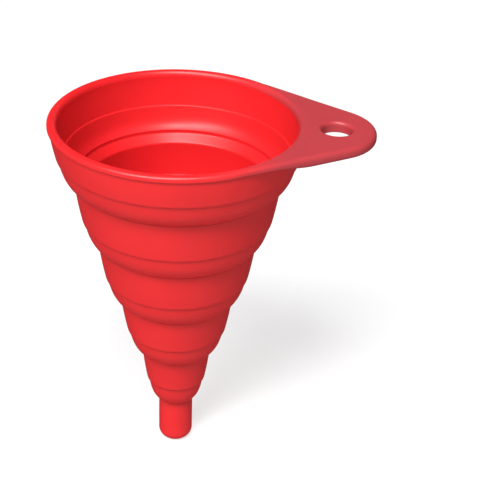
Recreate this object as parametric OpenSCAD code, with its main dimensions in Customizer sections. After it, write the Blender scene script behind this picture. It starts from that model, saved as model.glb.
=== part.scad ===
// Collapsible funnel: five thick bands joined by thin webs that turn inside out,
// so that each stage slides up into the one above it. Drawn open, mouth up.
// The origin is on the axis at the spout's tip, and +Z points to the mouth.

/* [Whole funnel] */
// Height of the open funnel, from the spout's tip to the top of the rim
total_h = 122; // [119:1:128]
// Outer radius of the rim
rim_r = 40; // [39.8:0.1:41]
// Height of the rim's lip
rim_h = 2; // [1.8:0.1:2.4]
// Inner radius of the mouth
mouth_r = 36.9; // [36.5:0.1:37.2]

/* [Stages] */
// Outer radius of the first band, just under the rim
stage_1_r = 39.4; // [39:0.1:39.6]
// Each band's top is narrower than the one above it by this much
stage_step = 7; // [6.9:0.05:7.1]
// Height of the first stage, its band and its web together
stage_1_h = 17.7; // [17:0.1:19]
// Height of the second stage, its band and its web together
stage_2_h = 22.2; // [21.5:0.1:23]
// Each later stage is shorter than the one above it by this much
stage_h_drop = 0.6; // [0.3:0.1:0.8]

/* [Walls] */
// Height of each web
web_h = 8.4; // [7.8:0.1:9]
// Thickness of each web at its lower end, where it turns under
web_wall = 1.2; // [1:0.1:1.5]
// How late each web thins down from its root: 1 is evenly, more is later
web_taper = 2.5; // [1:0.5:4]
// How far each web's root stands in from the inner face of its band
web_root_step = 0.4; // [0.2:0.1:0.6]
// How far each web starts inside the outer face of its band
web_inset = 0.5; // [0.3:0.1:0.7]
// Thickness of the second band at its top
band_wall = 3.4; // [3:0.1:3.6]
// The top of each later band is thinner than the one above it by this much
band_wall_drop = 0.2; // [0:0.05:0.25]
// Thickness of every band at its foot
foot_wall = 2.2; // [2:0.1:2.6]
// Height of the upright lip between each seam and the ledge below it
ledge_lip_h = 1.1; // [0.8:0.1:1.4]
// How far below its outer corner each band's inner ledge ends
ledge_drop = 2.6; // [2:0.1:3]

/* [Spout] */
// Outer radius of the spout
spout_r = 5.75; // [5.4:0.05:6]
// Radius of the bore through the spout
bore_r = 3.2; // [2.8:0.1:3.6]
// Height of the rounded end of the spout
tip_round_h = 3.4; // [2.5:0.1:4.5]
// Width of the flat ring round the bore at the tip
tip_land = 0.2; // [0.15:0.05:0.6]
// Height of the cone that leads into the bore
lead_in_h = 2.6; // [2:0.1:3.5]

/* [Hanging tab] */
// Distance from the funnel's axis to the centre of the tab's rounded end
tab_end_x = 44.5; // [43:0.5:48]
// Radius of the tab's rounded end
tab_end_r = 16; // [14:0.5:18]
// Distance from the funnel's axis to the centre of the hole
hole_x = 48.4; // [47:0.1:50]
// Radius of the hanging hole
hole_r = 4.7; // [4:0.1:5.5]
// Thickness of the tab
tab_h = 3.6; // [3:0.1:4]
// Height of each stepped edge of the tab
tab_edge_h = 0.7; // [0.4:0.1:1]
// How far each stepped edge is set in
tab_edge_inset = 0.5; // [0.3:0.1:0.8]

/* [Hidden] */

silicone_red = [0.9, 0.1, 0.11];
web_red = [0.78, 0.06, 0.08];
round_fn = 160;
small_fn = 64;
steps = 8;
edge_round = 0.9;
lip_under_round = 0.5;
spout_stage = 6;
undercut_angle = 55;
mouth_wall = stage_1_r - mouth_r;
rim_z = total_h - rim_h;

// Outer radius of stage k at its top; the spout counts as stage 6
function stage_r(k) =
    k == spout_stage ? spout_r : stage_1_r - stage_step * (k - 1);

// Height of stage k, from its top to the top of the next one
function stage_h(k) =
    k == 1 ? stage_1_h : stage_2_h - stage_h_drop * (k - 2);

// Height of stage k's top above the spout's tip
function stage_z(k) =
    k == 1 ? rim_z : stage_z(k - 1) - stage_h(k - 1);

// Share of stage k's height that its band takes
function band_share(k) = 1 - web_h / stage_h(k);

// Height of stage k's crease, where its band ends and its web starts
function crease_z(k) = stage_z(k) - stage_h(k) + web_h;

// Share of the step in radius at share t of the stage's height:
// a slow curve inwards, with a tight undercut just above the next band
function inward(t) = 0.58 * pow(t, 1.3) + 0.42 * pow(t, 9);

// Outer radius of stage k at share t of its height
function outer_r(k, t) = stage_r(k) - (stage_r(k) - stage_r(k + 1)) * inward(t);

// Height at share t of stage k
function height_at(k, t) = stage_z(k) - stage_h(k) * t;

// Thickness of band k at share s of its own height
function wall_at(k, s) =
    let (top_wall = k == 1 ? mouth_wall : band_wall - band_wall_drop * (k - 2))
    top_wall + (foot_wall - top_wall) * s;

// Points of a quarter of an ellipse about [x, z], from angle a to angle b
function arc_points(x, z, rx, rz, a, b, n = 5) =
    [for (i = [0 : n]) let (angle = a + (b - a) * i / n)
        [x + rx * cos(angle), z + rz * sin(angle)]];

// Outer corner of stage k's seam with the web above it
function seam_outer(k) = [stage_r(k), stage_z(k)];

// Inner corner of the same seam
function seam_inner(k) =
    seam_outer(k) + web_wall * [-cos(undercut_angle), sin(undercut_angle)];

// Outer face of band k, from its top down to its crease
function band_outer(k) =
    [for (i = [0 : steps]) let (t = band_share(k) * i / steps)
        [outer_r(k, t), height_at(k, t)]];

// Inner face of band k, from its foot up to share top_s of its height
function band_inner(k, top_s) =
    [for (i = [0 : steps]) let (s = 1 + (top_s - 1) * i / steps, t = band_share(k) * s)
        [outer_r(k, t) - wall_at(k, s), height_at(k, t)]];

// Outer face of web k at share u of its height
function web_outer(k, u) =
    let (t = band_share(k) + (1 - band_share(k)) * u)
    [outer_r(k, t) - web_inset * (1 - u), height_at(k, t)];

// Thickness of a web at share u of its height: thickest at its root
function web_wall_at(u) =
    let (root_wall = foot_wall - web_inset + web_root_step)
    root_wall + (web_wall - root_wall) * pow(u, web_taper);

// Inner face of web k at share u: the outer face set in by the web's thickness
function web_inner(k, u) =
    let (tilt = undercut_angle * u * u)
    web_outer(k, u) + web_wall_at(u) * [-cos(tilt), sin(tilt)];

// Turns a half section about the funnel's axis
module revolved(points) {
    rotate_extrude($fn = round_fn)
        polygon(points);
}

module rim_ring() {
    section = concat(
        [[mouth_r, rim_z]],
        arc_points(rim_r - lip_under_round, rim_z + lip_under_round,
                   lip_under_round, lip_under_round, 270, 360, 3),
        arc_points(rim_r - edge_round, total_h - edge_round,
                   edge_round, edge_round, 0, 90),
        arc_points(mouth_r + edge_round, total_h - edge_round,
                   edge_round, edge_round, 90, 180)
    );
    color(silicone_red)
        revolved(section);
}

// One layer of the tab: a round end, with straight sides tangent to the rim
module tab_layer(inset, z, h) {
    root_r = rim_r - inset;
    end_r = tab_end_r - inset;
    spread = acos((rim_r - tab_end_r) / tab_end_x);
    side = [cos(spread), sin(spread)];
    root = root_r * side;
    end = [tab_end_x, 0] + end_r * side;
    translate([0, 0, z])
        linear_extrude(height = h)
            union() {
                translate([tab_end_x, 0])
                    circle(r = end_r, $fn = round_fn);
                polygon([
                    root,
                    end,
                    [end[0], -end[1]],
                    [root[0], -root[1]]
                ]);
            }
}

module hang_tab() {
    tab_z = total_h - tab_h;
    color(silicone_red)
        difference() {
            union() {
                tab_layer(tab_edge_inset, tab_z, tab_edge_h);
                tab_layer(0, tab_z + tab_edge_h, tab_h - 2 * tab_edge_h);
                tab_layer(tab_edge_inset, total_h - tab_edge_h, tab_edge_h);
            }
            translate([0, 0, rim_z])
                cylinder(r = rim_r, h = tab_h, $fn = round_fn);
            translate([0, 0, tab_z - 1])
                cylinder(r = stage_1_r, h = tab_h + 1, $fn = round_fn);
            translate([hole_x, 0, tab_z - 1])
                cylinder(r = hole_r, h = tab_h + 2, $fn = small_fn);
        }
}

// A thick band, with a lip and a sloping ledge inside its top on all but the first
module band(k) {
    ledge_s = ledge_drop / (stage_z(k) - crease_z(k));
    top = k == 1 ? [] : [seam_inner(k) - [0, ledge_lip_h], seam_inner(k)];
    color(silicone_red)
        revolved(concat(
            band_outer(k),
            band_inner(k, k == 1 ? 0 : ledge_s),
            top
        ));
}

// A thin web, from the crease of stage k down to the top of the next stage
module web(k) {
    color(web_red)
        revolved(concat(
            [for (i = [0 : steps + 4]) web_outer(k, i / (steps + 4))],
            [for (i = [steps + 4 : -1 : 0]) web_inner(k, i / (steps + 4))]
        ));
}

module spout() {
    tip_angle = acos((bore_r + tip_land) / spout_r);
    tip_rz = tip_round_h / sin(tip_angle);
    section = concat(
        [[bore_r, 0]],
        arc_points(0, tip_round_h, spout_r, tip_rz, -tip_angle, 0, 6),
        [
            seam_outer(spout_stage),
            seam_inner(spout_stage),
            [bore_r, seam_inner(spout_stage)[1] - lead_in_h]
        ]
    );
    color(silicone_red)
        revolved(section);
}

rim_ring();
hang_tab();
band(1);  // band_1
web(1);  // web_1
band(2);  // band_2
web(2);  // web_2
band(3);  // band_3
web(3);  // web_3
band(4);  // band_4
web(4);  // web_4
band(5);  // band_5
web(5);  // web_5
spout();
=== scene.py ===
"""A collapsible silicone funnel, open and mouth up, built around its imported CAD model."""

import math

import bmesh
import bpy
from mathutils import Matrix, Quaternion, Vector


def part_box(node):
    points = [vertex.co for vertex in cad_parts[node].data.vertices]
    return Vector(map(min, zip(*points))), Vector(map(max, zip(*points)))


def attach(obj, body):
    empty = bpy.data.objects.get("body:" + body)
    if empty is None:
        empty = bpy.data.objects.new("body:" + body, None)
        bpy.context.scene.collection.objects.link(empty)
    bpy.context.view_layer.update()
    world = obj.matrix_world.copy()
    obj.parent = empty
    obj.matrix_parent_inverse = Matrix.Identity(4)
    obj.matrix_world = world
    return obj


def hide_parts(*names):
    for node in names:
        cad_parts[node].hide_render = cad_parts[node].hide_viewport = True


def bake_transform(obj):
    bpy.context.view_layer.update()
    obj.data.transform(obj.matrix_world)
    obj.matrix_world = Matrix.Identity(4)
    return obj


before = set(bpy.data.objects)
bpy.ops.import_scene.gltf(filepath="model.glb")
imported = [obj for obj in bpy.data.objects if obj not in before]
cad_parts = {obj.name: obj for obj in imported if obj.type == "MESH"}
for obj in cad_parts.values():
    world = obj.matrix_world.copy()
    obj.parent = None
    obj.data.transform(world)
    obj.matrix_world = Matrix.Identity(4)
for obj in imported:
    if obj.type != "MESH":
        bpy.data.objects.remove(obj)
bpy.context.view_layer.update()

MM = 0.001
STAGES = 5
SPOUT_STAGE = STAGES + 1
BODIES = ["mouth", "stage_2", "stage_3", "stage_4", "stage_5", "spout"]
SEGMENTS = 224
SHARP_ANGLE = math.radians(40)

# ---------------------------------------------------------------- sizes
# The levels and outer radii come from the CAD nodes. The other sizes repeat part.scad's.
TOP_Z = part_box("rim_ring")[1].z
RIM_LOW_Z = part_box("rim_ring")[0].z
RIM_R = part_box("rim_ring")[1].y
TAB_LOW_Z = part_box("hang_tab")[0].z
TAB_END_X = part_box("hang_tab")[1].x
MOUTH_R = 36.9 * MM
WEB_WALL = 1.2 * MM
WEB_TAPER = 2.5
WEB_INSET = 0.5 * MM
WEB_ROOT_STEP = 0.4 * MM
UNDERCUT = math.radians(55)
MOUTH_WALL = 2.5 * MM
BAND_WALL = 3.4 * MM
BAND_WALL_DROP = 0.2 * MM
FOOT_WALL = 2.2 * MM
LEDGE_LIP_H = 1.1 * MM
LEDGE_DROP = 2.6 * MM
TAB_END_R = 16 * MM
TAB_CENTRE_X = TAB_END_X - TAB_END_R
HOLE_X = 48.4 * MM
HOLE_R = 4.7 * MM
BORE_R = 3.2 * MM
TIP_ROUND_H = 3.4 * MM
TIP_LAND = 0.2 * MM
LEAD_IN_H = 2.6 * MM

# These are the soft edges that Blender adds to the CAD's plain ones.
BAND_EDGE_EASE = 0.8 * MM
LEDGE_FOOT_EASE = 0.45 * MM
LEDGE_TOP_EASE = 0.35 * MM
LEAD_IN_EASE = 0.8 * MM
BORE_EDGE_EASE = 0.25 * MM
WEB_LAP = 0.4 * MM


def crease_z(k):
    """Where stage k's band ends and its web starts."""
    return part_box(f"band_{k}")[0].z


def stage_z(k):
    """The height of stage k's top, which is where the web above it ends."""
    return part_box("band_1")[1].z if k == 1 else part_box(f"web_{k - 1}")[0].z


def stage_r(k):
    """The outer radius of stage k at its top. The spout counts as the last stage."""
    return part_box("spout" if k == SPOUT_STAGE else f"band_{k}")[1].y


LEVEL = {k: stage_z(k) for k in range(1, SPOUT_STAGE + 1)}
CREASE = {k: crease_z(k) for k in range(1, STAGES + 1)}
RADIUS = {k: stage_r(k) for k in range(1, SPOUT_STAGE + 1)}
SHARE = {k: (LEVEL[k] - CREASE[k]) / (LEVEL[k] - LEVEL[k + 1]) for k in CREASE}


# ---------------------------------------------------------------- profiles
def inward(t):
    """Share of the step in radius at share t of a stage's height, as in the CAD model."""
    t = max(0.0, t)
    return 0.58 * t**1.3 + 0.42 * t**9


def outer_point(k, t):
    r = RADIUS[k] - (RADIUS[k] - RADIUS[k + 1]) * inward(t)
    return Vector((r, LEVEL[k] - (LEVEL[k] - LEVEL[k + 1]) * t))


def arc(centre, rx, rz, start, end, count):
    """Points on a quarter of an ellipse, from angle start to angle end, in degrees."""
    angles = [math.radians(start + (end - start) * i / count) for i in range(count + 1)]
    return [
        Vector((centre[0] + rx * math.cos(a), centre[1] + rz * math.sin(a)))
        for a in angles
    ]


def eased(before, corner, after, reach, count=5):
    """Points that round a corner, starting and ending at the given reach from it."""
    start = corner + (before - corner).normalized() * reach
    end = corner + (after - corner).normalized() * reach
    return [
        start * (1 - s) ** 2 + corner * 2 * s * (1 - s) + end * s**2
        for s in (i / count for i in range(count + 1))
    ]


def seam(k):
    """The outer and inner corners of stage k's seam with the web above it."""
    outer = Vector((RADIUS[k], LEVEL[k]))
    return outer, outer + WEB_WALL * Vector((-math.cos(UNDERCUT), math.sin(UNDERCUT)))


def wall(k, s):
    """The thickness of band k at share s of its own height."""
    top = MOUTH_WALL if k == 1 else BAND_WALL - BAND_WALL_DROP * (k - 2)
    return top + (FOOT_WALL - top) * s


def band_profile(k):
    """The half section of band k, with its edges softly rounded."""
    height = LEVEL[k] - CREASE[k]
    count = 26
    outer = [outer_point(k, SHARE[k] * i / count) for i in range(count + 1)]
    step_corner = outer[-1]
    outer = [p for p in outer if p.y > CREASE[k] + BAND_EDGE_EASE]
    top_s = 0 if k == 1 else LEDGE_DROP / height
    inner = []
    for i in range(count + 1):
        s = 1 + (top_s - 1) * i / count
        p = outer_point(k, SHARE[k] * s)
        inner.append(Vector((p.x - wall(k, s), p.y)))
    points = outer + eased(outer[-1], step_corner, inner[0], BAND_EDGE_EASE)
    if k == 1:
        return points + inner
    top_outer, top_inner = seam(k)
    lip_foot = top_inner - Vector((0, LEDGE_LIP_H))
    clear_of_shoulder = 0.5 * MM
    shoulder = inner[-1]
    inner = [p for p in inner if p.y < shoulder.y - clear_of_shoulder]
    return (
        points
        + inner
        + eased(inner[-1], shoulder, lip_foot, LEDGE_FOOT_EASE, 6)
        + [shoulder.lerp(lip_foot, 0.6)]
        + eased(shoulder, lip_foot, top_inner, LEDGE_TOP_EASE, 4)
        + [top_inner]
    )


def web_profile(k):
    """The half section of web k, and each point's share of the fold below it.

    A web turns inside out as the next stage slides up. Its upper part stays near the band
    and rolls into the folded ridge, and its lower part goes up with the next stage. Its top
    laps into the band, so that no gap opens between them."""
    count = 44
    crowding = 0.8
    root_wall = FOOT_WALL - WEB_INSET + WEB_ROOT_STEP
    outer, inner, shares = [], [], []
    for i in range(count + 1):
        u = (i / count) ** crowding
        tilt = UNDERCUT * u * u
        p = outer_point(k, SHARE[k] + (1 - SHARE[k]) * u)
        p.x -= WEB_INSET * (1 - u)
        outer.append(p)
        thickness = root_wall + (WEB_WALL - root_wall) * u**WEB_TAPER
        inner.append(p + thickness * Vector((-math.cos(tilt), math.sin(tilt))))
        shares.append(u**3)
    band_inner_r = outer[0].x + WEB_INSET - FOOT_WALL
    ledge = Vector((band_inner_r, inner[0].y))
    root = eased(inner[2], inner[0], ledge, WEB_ROOT_STEP * 0.8, 6)
    top = [outer[0] + Vector((0, WEB_LAP)), ledge + Vector((WEB_LAP, WEB_LAP))]
    points = [top[0]] + outer + inner[:1:-1] + root + [top[1]]
    return points, [0.0] + shares + shares[:1:-1] + [0.0] * (len(root) + 1)


def spout_profile():
    """The half section of the spout, from its rounded tip to the cone above its bore."""
    top_outer, top_inner = seam(SPOUT_STAGE)
    tip_angle = math.acos((BORE_R + TIP_LAND) / RADIUS[SPOUT_STAGE])
    tip_rz = TIP_ROUND_H / math.sin(tip_angle)
    lead = Vector((BORE_R, top_inner.y - LEAD_IN_H))
    straight = 10
    tip = arc((0, TIP_ROUND_H), RADIUS[SPOUT_STAGE], tip_rz, -math.degrees(tip_angle), 0, 16)
    side = [tip[-1].lerp(top_outer, (i + 1) / straight) for i in range(straight)]
    mouth = Vector((BORE_R, 0))
    bore_top = eased(top_inner, lead, mouth, LEAD_IN_EASE, 6)
    bore = [bore_top[-1].lerp(mouth, (i + 1) / straight) for i in range(straight - 1)]
    bore_end = eased(lead, mouth, tip[0], BORE_EDGE_EASE, 4)
    return tip + side + [top_inner] + bore_top + bore + bore_end


# ---------------------------------------------------------------- meshes
def shade_smooth(mesh):
    """Smooth shading that stops at the true corners, which are all steeper than SHARP_ANGLE."""
    mesh.polygons.foreach_set("use_smooth", [True] * len(mesh.polygons))
    mesh.set_sharp_from_angle(angle=SHARP_ANGLE)


def mesh_object(name, points, faces):
    """An object from points and faces, with its faces turned to look outwards."""
    mesh = bpy.data.meshes.new(name)
    mesh.from_pydata([tuple(p) for p in points], [], faces)
    mesh.validate()
    shape = bmesh.new()
    shape.from_mesh(mesh)
    bmesh.ops.recalc_face_normals(shape, faces=shape.faces)
    shape.to_mesh(mesh)
    shape.free()
    shade_smooth(mesh)
    made = bpy.data.objects.new(name, mesh)
    bpy.context.scene.collection.objects.link(made)
    return made


def weighted_normals(piece):
    """Lets the wide faces set the shading, so that small roundings stay crisp."""
    shading = piece.modifiers.new("face_weighted_shading", "WEIGHTED_NORMAL")
    shading.weight = 60
    shading.keep_sharp = True


def loop_faces(rings, ring_size, closed):
    """Quads between neighbouring rings of points, each ring a closed section."""
    faces = []
    for i in range(rings if closed else rings - 1):
        a, b = i * ring_size, ((i + 1) % rings) * ring_size
        for j in range(ring_size):
            n = (j + 1) % ring_size
            faces.append((a + j, b + j, b + n, a + n))
    return faces


def turned(name, profile):
    """A closed half section turned about the funnel's axis."""
    points = []
    for i in range(SEGMENTS):
        angle = 2 * math.pi * i / SEGMENTS
        c, s = math.cos(angle), math.sin(angle)
        points += [(p.x * c, p.x * s, p.y) for p in profile]
    piece = mesh_object(name, points, loop_faces(SEGMENTS, len(profile), True))
    weighted_normals(piece)
    return piece


# ---------------------------------------------------------------- rim and tab
SPREAD = math.acos((RIM_R - TAB_END_R) / TAB_CENTRE_X)
CREST_R = (MOUTH_R + RIM_R) / 2
CREST_H = 1.1 * MM
LIP_UNDER_ROUND = 0.45 * MM
TAB_TOP_ROUND = 1.6 * MM
TAB_LOW_ROUND = 1.3 * MM
TAB_JOIN_R = CREST_R - 0.1 * MM
TAB_SINK = 0.06 * MM
TAB_GROWS_OVER = 0.4 * MM
TAB_THICKENS_OVER = 7 * MM


def tab_edge(angle):
    """The point of the tab's outline in a direction from the axis, and its outward normal."""
    side = Vector((math.cos(SPREAD), math.sin(SPREAD)))
    way = Vector((math.cos(angle), abs(math.sin(angle))))
    end = Vector((TAB_CENTRE_X, 0)) + TAB_END_R * side
    if way.y * end.x > end.y * way.x:
        point, normal = way * (RIM_R / way.dot(side)), side.copy()
    else:
        reach = TAB_CENTRE_X * way.x
        point = way * (reach + math.sqrt(TAB_END_R**2 - (TAB_CENTRE_X * way.y) ** 2))
        normal = (point - Vector((TAB_CENTRE_X, 0))) / TAB_END_R
    if math.sin(angle) < 0:
        point.y, normal.y = -point.y, -normal.y
    return point, normal


def smooth(x):
    """A soft step from 0 to 1."""
    x = max(0.0, min(1.0, x))
    return x * x * (3 - 2 * x)


def rim_profile():
    """The rim's half section: its inner side flows into the wall, and its outer side is a lip."""
    half = (RIM_R - MOUTH_R) / 2
    inner = arc((CREST_R, RIM_LOW_Z), half, TOP_Z - RIM_LOW_Z, 180, 90, 14)
    outer = arc((CREST_R, TOP_Z - CREST_H), half, CREST_H, 90, 0, 11)
    low_z = RIM_LOW_Z + LIP_UNDER_ROUND
    under = arc((RIM_R - LIP_UNDER_ROUND, low_z), LIP_UNDER_ROUND, LIP_UNDER_ROUND, 360, 270, 5)
    return inner + outer[1:] + under


def tab_section(angle):
    """The tab's section in one direction: from the rim's crest out to its rounded edge.

    Its two ends lie just inside the rim's surface, so that it grows out of the rim."""
    edge, normal = tab_edge(angle)
    way = Vector((math.cos(angle), math.sin(angle)))
    join = way * TAB_JOIN_R
    beyond = smooth((edge.length - RIM_R) / TAB_THICKENS_OVER)
    grown = smooth((edge.length - RIM_R) / TAB_GROWS_OVER)
    edge = edge - normal * TAB_SINK * (1 - grown)
    top_z = TOP_Z - TAB_SINK * (1 - grown)
    low_z = RIM_LOW_Z + TAB_SINK * (1 - grown) + (TAB_LOW_Z - RIM_LOW_Z) * beyond
    top_h = CREST_H + (TAB_TOP_ROUND - CREST_H) * beyond
    top_w = RIM_R - CREST_R + (TAB_TOP_ROUND - RIM_R + CREST_R) * beyond
    low_round = LIP_UNDER_ROUND + (TAB_LOW_ROUND - LIP_UNDER_ROUND) * beyond
    points = []
    across = 26
    top_edge = edge - normal * top_w
    low_edge = edge - normal * low_round
    for i in range(across):
        p = join.lerp(top_edge, i / across)
        points.append((p.x, p.y, top_z))
    for p in arc((-top_w, top_z - top_h), top_w, top_h, 90, 0, 12):
        q = edge + normal * p.x
        points.append((q.x, q.y, p.y))
    for p in arc((-low_round, low_z + low_round), low_round, low_round, 360, 270, 7):
        q = edge + normal * p.x
        points.append((q.x, q.y, p.y))
    for i in range(1, across + 1):
        p = low_edge.lerp(join, i / across)
        points.append((p.x, p.y, low_z))
    return points


def hole_cutter():
    """A tool in the shape of the hanging hole, flared where it meets both faces."""
    top_flare, low_flare = 1.3 * MM, 0.4 * MM
    beyond = 2 * MM
    profile = [Vector((HOLE_R + top_flare, TOP_Z + beyond))]
    profile += arc((HOLE_R + top_flare, TOP_Z - top_flare), top_flare, top_flare, 90, 180, 8)
    profile += arc((HOLE_R + low_flare, TAB_LOW_Z + low_flare), low_flare, low_flare, 180, 270, 8)
    profile.append(Vector((HOLE_R + low_flare, TAB_LOW_Z - beyond)))
    size, count = len(profile), 96
    points = []
    for i in range(count):
        angle = 2 * math.pi * i / count
        for p in profile:
            points.append((HOLE_X + p.x * math.cos(angle), p.x * math.sin(angle), p.y))
    faces = []
    for i in range(count):
        a, b = i * size, ((i + 1) % count) * size
        faces += [(a + j, b + j, b + j + 1, a + j + 1) for j in range(size - 1)]
    faces.append(tuple(range(0, count * size, size)))
    faces.append(tuple(range(size - 1, count * size, size)))
    return mesh_object("hole_cutter", points, faces)


def make_tab():
    """The tab: its sections joined from one side to the other, less the hanging hole."""
    steps = 150
    sections = [tab_section(-SPREAD + 2 * SPREAD * i / steps) for i in range(steps + 1)]
    size = len(sections[0])
    points = [p for section in sections for p in section]
    faces = loop_faces(steps + 1, size, False)
    faces.append(tuple(range(size)))
    faces.append(tuple(range(steps * size, steps * size + size)))
    tab = mesh_object("hanging_tab", points, faces)
    cutter = hole_cutter()
    cut = tab.modifiers.new("hole", "BOOLEAN")
    cut.operation = "DIFFERENCE"
    cut.solver = "EXACT"
    cut.object = cutter
    bpy.context.view_layer.objects.active = tab
    bpy.ops.object.modifier_apply(modifier=cut.name)
    bpy.data.objects.remove(cutter)
    shade_smooth(tab.data)
    weighted_normals(tab)
    return tab


# ---------------------------------------------------------------- materials
# Scales are in cells per metre.
CLOUD_SCALE, SMEAR_SCALE, GRAIN_SCALE = 38, 120, 1600
GRAIN_DEPTH = 0.12 * MM
SILICONE_IOR = 1.41
DEEP_RED = (0.55, 0.0106, 0.0132)
# Painted shade and a painted reflection: the rim and tab fade to this paler, darker red towards
# the tab's end, which gets less light and shows the bright surround in its top.
PAINTED_SHADE_AND_REFLECTION_RED = (0.32, 0.030, 0.036)
PAINTED_FADE_FROM_X, PAINTED_FADE_TO_X = 8 * MM, 38 * MM


def silicone(name, red, roughness, painted_fade=0.0):
    """Satin moulded silicone, with faint clouds of colour and a finely grained skin.

    Its last argument sets how far its colour fades, towards the tab's end, to a paler and darker
    red: painted shade and a painted reflection of the bright surround."""
    made = bpy.data.materials.new(name)
    made.use_nodes = True
    nodes, links = made.node_tree.nodes, made.node_tree.links
    shader = nodes["Principled BSDF"]
    where = nodes.new("ShaderNodeTexCoord")

    def noise(scale, detail):
        made_noise = nodes.new("ShaderNodeTexNoise")
        made_noise.inputs["Scale"].default_value = scale
        made_noise.inputs["Detail"].default_value = detail
        links.new(where.outputs["Object"], made_noise.inputs["Vector"])
        return made_noise

    def clouded(colour):
        """A colour that drifts a little darker and lighter over the surface."""
        ramp = nodes.new("ShaderNodeValToRGB")
        for end, position, factor in ((0, 0.3, 0.95), (1, 0.7, 1.04)):
            ramp.color_ramp.elements[end].position = position
            ramp.color_ramp.elements[end].color = (*(c * factor for c in colour), 1)
        links.new(clouds.outputs["Fac"], ramp.inputs["Fac"])
        return ramp

    clouds = noise(CLOUD_SCALE, 4)
    colour = clouded(red)
    if painted_fade:
        # Painted shade and reflection: the colour fades along X towards the tab's end.
        apart = nodes.new("ShaderNodeSeparateXYZ")
        links.new(where.outputs["Object"], apart.inputs["Vector"])
        along = nodes.new("ShaderNodeMapRange")
        along.interpolation_type = "SMOOTHSTEP"
        along.inputs["From Min"].default_value = PAINTED_FADE_FROM_X
        along.inputs["From Max"].default_value = PAINTED_FADE_TO_X
        along.inputs["To Max"].default_value = painted_fade
        links.new(apart.outputs["X"], along.inputs["Value"])
        mixed = nodes.new("ShaderNodeMix")
        mixed.data_type = "RGBA"
        links.new(along.outputs["Result"], mixed.inputs["Factor"])
        links.new(colour.outputs["Color"], mixed.inputs["A"])
        links.new(clouded(PAINTED_SHADE_AND_REFLECTION_RED).outputs["Color"], mixed.inputs["B"])
        links.new(mixed.outputs["Result"], shader.inputs["Base Color"])
    else:
        links.new(colour.outputs["Color"], shader.inputs["Base Color"])

    smears = noise(SMEAR_SCALE, 5)
    gloss = nodes.new("ShaderNodeMapRange")
    gloss.inputs["To Min"].default_value = roughness - 0.06
    gloss.inputs["To Max"].default_value = roughness + 0.07
    links.new(smears.outputs["Fac"], gloss.inputs["Value"])
    links.new(gloss.outputs["Result"], shader.inputs["Roughness"])

    grain = noise(GRAIN_SCALE, 3)
    bump = nodes.new("ShaderNodeBump")
    bump.inputs["Strength"].default_value = 0.12
    bump.inputs["Distance"].default_value = GRAIN_DEPTH
    links.new(grain.outputs["Fac"], bump.inputs["Height"])
    links.new(bump.outputs["Normal"], shader.inputs["Normal"])

    shader.inputs["IOR"].default_value = SILICONE_IOR
    shader.inputs["Specular IOR Level"].default_value = 0.42
    return made


BAND_RED = silicone("silicone_band", DEEP_RED, 0.40)
# The webs' red is 2 percent darker than the bands': painted shade, for the webs' downward-facing
# surfaces.
WEB_RED = silicone("silicone_web", [c * 0.98 for c in DEEP_RED], 0.43)
# The rim and tab carry the painted shade and reflection towards the tab's end.
RIM_RED = silicone("silicone_rim", DEEP_RED, 0.38, painted_fade=1.0)


def finish_piece(piece, body, node, material):
    """Gives a stiff piece its material and its body, and hides the CAD node that it replaces."""
    piece.data.materials.clear()
    piece.data.materials.append(material)
    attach(piece, body)
    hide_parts(node)


def add_stage(k):
    """Band k, and the web below it, between this stage and the next."""
    band = turned(f"stiff_band_{k}", band_profile(k))
    finish_piece(band, BODIES[k - 1], f"band_{k}", BAND_RED)
    profile, shares = web_profile(k)
    web = turned(f"folding_web_{k}", profile)
    web.data.materials.append(WEB_RED)
    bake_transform(web)
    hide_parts(f"web_{k}")


finish_piece(turned("rim_lip", rim_profile()), "mouth", "rim_ring", RIM_RED)
finish_piece(make_tab(), "mouth", "hang_tab", RIM_RED)
for stage in range(1, STAGES + 1):
    add_stage(stage)
finish_piece(turned("spout_tube", spout_profile()), "spout", "spout", BAND_RED)


# ---------------------------------------------------------------- floor, light, camera
def floor():
    """A pale floor that curves up far away, and glows faintly so that shadows stay weak."""
    flat_r, bend, wall_top = 2.2, 0.8, 1.0
    profile = arc((flat_r, bend), bend, bend, 270, 360, 12) + [Vector((flat_r + bend, wall_top))]
    turns = 64
    points = [(0, 0, 0)]
    for i in range(turns):
        angle = 2 * math.pi * i / turns
        points += [(p.x * math.cos(angle), p.x * math.sin(angle), p.y) for p in profile]
    faces = []
    for i in range(turns):
        a, b = 1 + i * len(profile), 1 + (i + 1) % turns * len(profile)
        faces.append((0, a, b))
        faces += [(a + j, a + j + 1, b + j + 1, b + j) for j in range(len(profile) - 1)]
    made = mesh_object("floor", points, faces)
    pale = bpy.data.materials.new("pale_floor")
    pale.use_nodes = True
    shader = pale.node_tree.nodes["Principled BSDF"]
    shader.inputs["Base Color"].default_value = (0.3, 0.3, 0.3, 1)
    shader.inputs["Roughness"].default_value = 0.95
    shader.inputs["Specular IOR Level"].default_value = 0.0
    shader.inputs["Emission Color"].default_value = (1, 1, 1, 1)
    shader.inputs["Emission Strength"].default_value = 0.68
    made.data.materials.append(pale)
    made.visible_glossy = False


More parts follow.
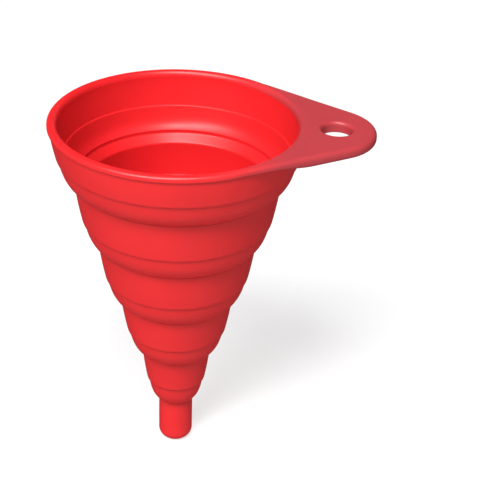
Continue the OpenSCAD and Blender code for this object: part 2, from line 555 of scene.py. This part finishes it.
def softbox(name, place, size, radiance, gloss=True):
    """A rectangular light that faces the funnel, with the brightness of its face given.

    Without gloss it lights the funnel but isn't mirrored in it."""
    data = bpy.data.lights.new(name, "AREA")
    data.shape = "RECTANGLE"
    data.size, data.size_y = size
    data.energy = radiance * math.pi * size[0] * size[1]
    made = bpy.data.objects.new(name, data)
    bpy.context.scene.collection.objects.link(made)
    made.location = place
    made.visible_glossy = gloss
    made.rotation_mode = "QUATERNION"
    made.rotation_quaternion = (FUNNEL_MIDDLE - made.location).to_track_quat("-Z", "Y")


def from_middle(azimuth, elevation, distance):
    """A place seen from the funnel's middle: azimuth 0 is the front, 90 is over the tab."""
    a, e = math.radians(azimuth), math.radians(elevation)
    way = Vector((math.sin(a) * math.cos(e), -math.cos(a) * math.cos(e), math.sin(e)))
    return FUNNEL_MIDDLE + way * distance


def camera():
    """The photograph's view: 31 degrees down, and 7 degrees round towards the tab.

    It is turned about its own axes from the funnel's middle to the middle of the frame."""
    data = bpy.data.cameras.new("camera")
    data.lens = CAMERA_LENS
    data.clip_start = 0.01
    made = bpy.data.objects.new("camera", data)
    bpy.context.scene.collection.objects.link(made)
    made.location = from_middle(CAMERA_AZIMUTH, CAMERA_ELEVATION, CAMERA_DISTANCE)
    turn = (FUNNEL_MIDDLE - made.location).to_track_quat("-Z", "Y")
    for axis, degrees in CAMERA_TURNS:
        turn = turn @ Quaternion(axis, math.radians(degrees))
    made.rotation_mode = "QUATERNION"
    made.rotation_quaternion = turn
    bpy.context.scene.camera = made


def dim_world():
    """A faint white surround."""
    world = bpy.data.worlds.new("studio")
    world.use_nodes = True
    world.node_tree.nodes["Background"].inputs["Color"].default_value = (1, 1, 1, 1)
    world.node_tree.nodes["Background"].inputs["Strength"].default_value = 0.05
    bpy.context.scene.world = world


FUNNEL_MIDDLE = Vector((0, 0, 0.072))
CAMERA_AZIMUTH, CAMERA_ELEVATION, CAMERA_DISTANCE = 7, 31, 0.400
CAMERA_LENS = 92.1
CAMERA_TURNS = (((0, 1, 0), -2.92), ((1, 0, 0), 0.89), ((0, 0, 1), 0.55))
LIGHT_DISTANCE = 0.9
floor()
softbox("overhead", from_middle(4, 62, LIGHT_DISTANCE), (0.25, 0.25), 47)
softbox("key", from_middle(-32, 48, LIGHT_DISTANCE), (0.4, 0.4), 19)
softbox("back_fill", from_middle(172, 6, LIGHT_DISTANCE), (0.5, 0.5), 4.5, gloss=False)
dim_world()
bpy.context.scene.view_settings.view_transform = "Standard"
camera()
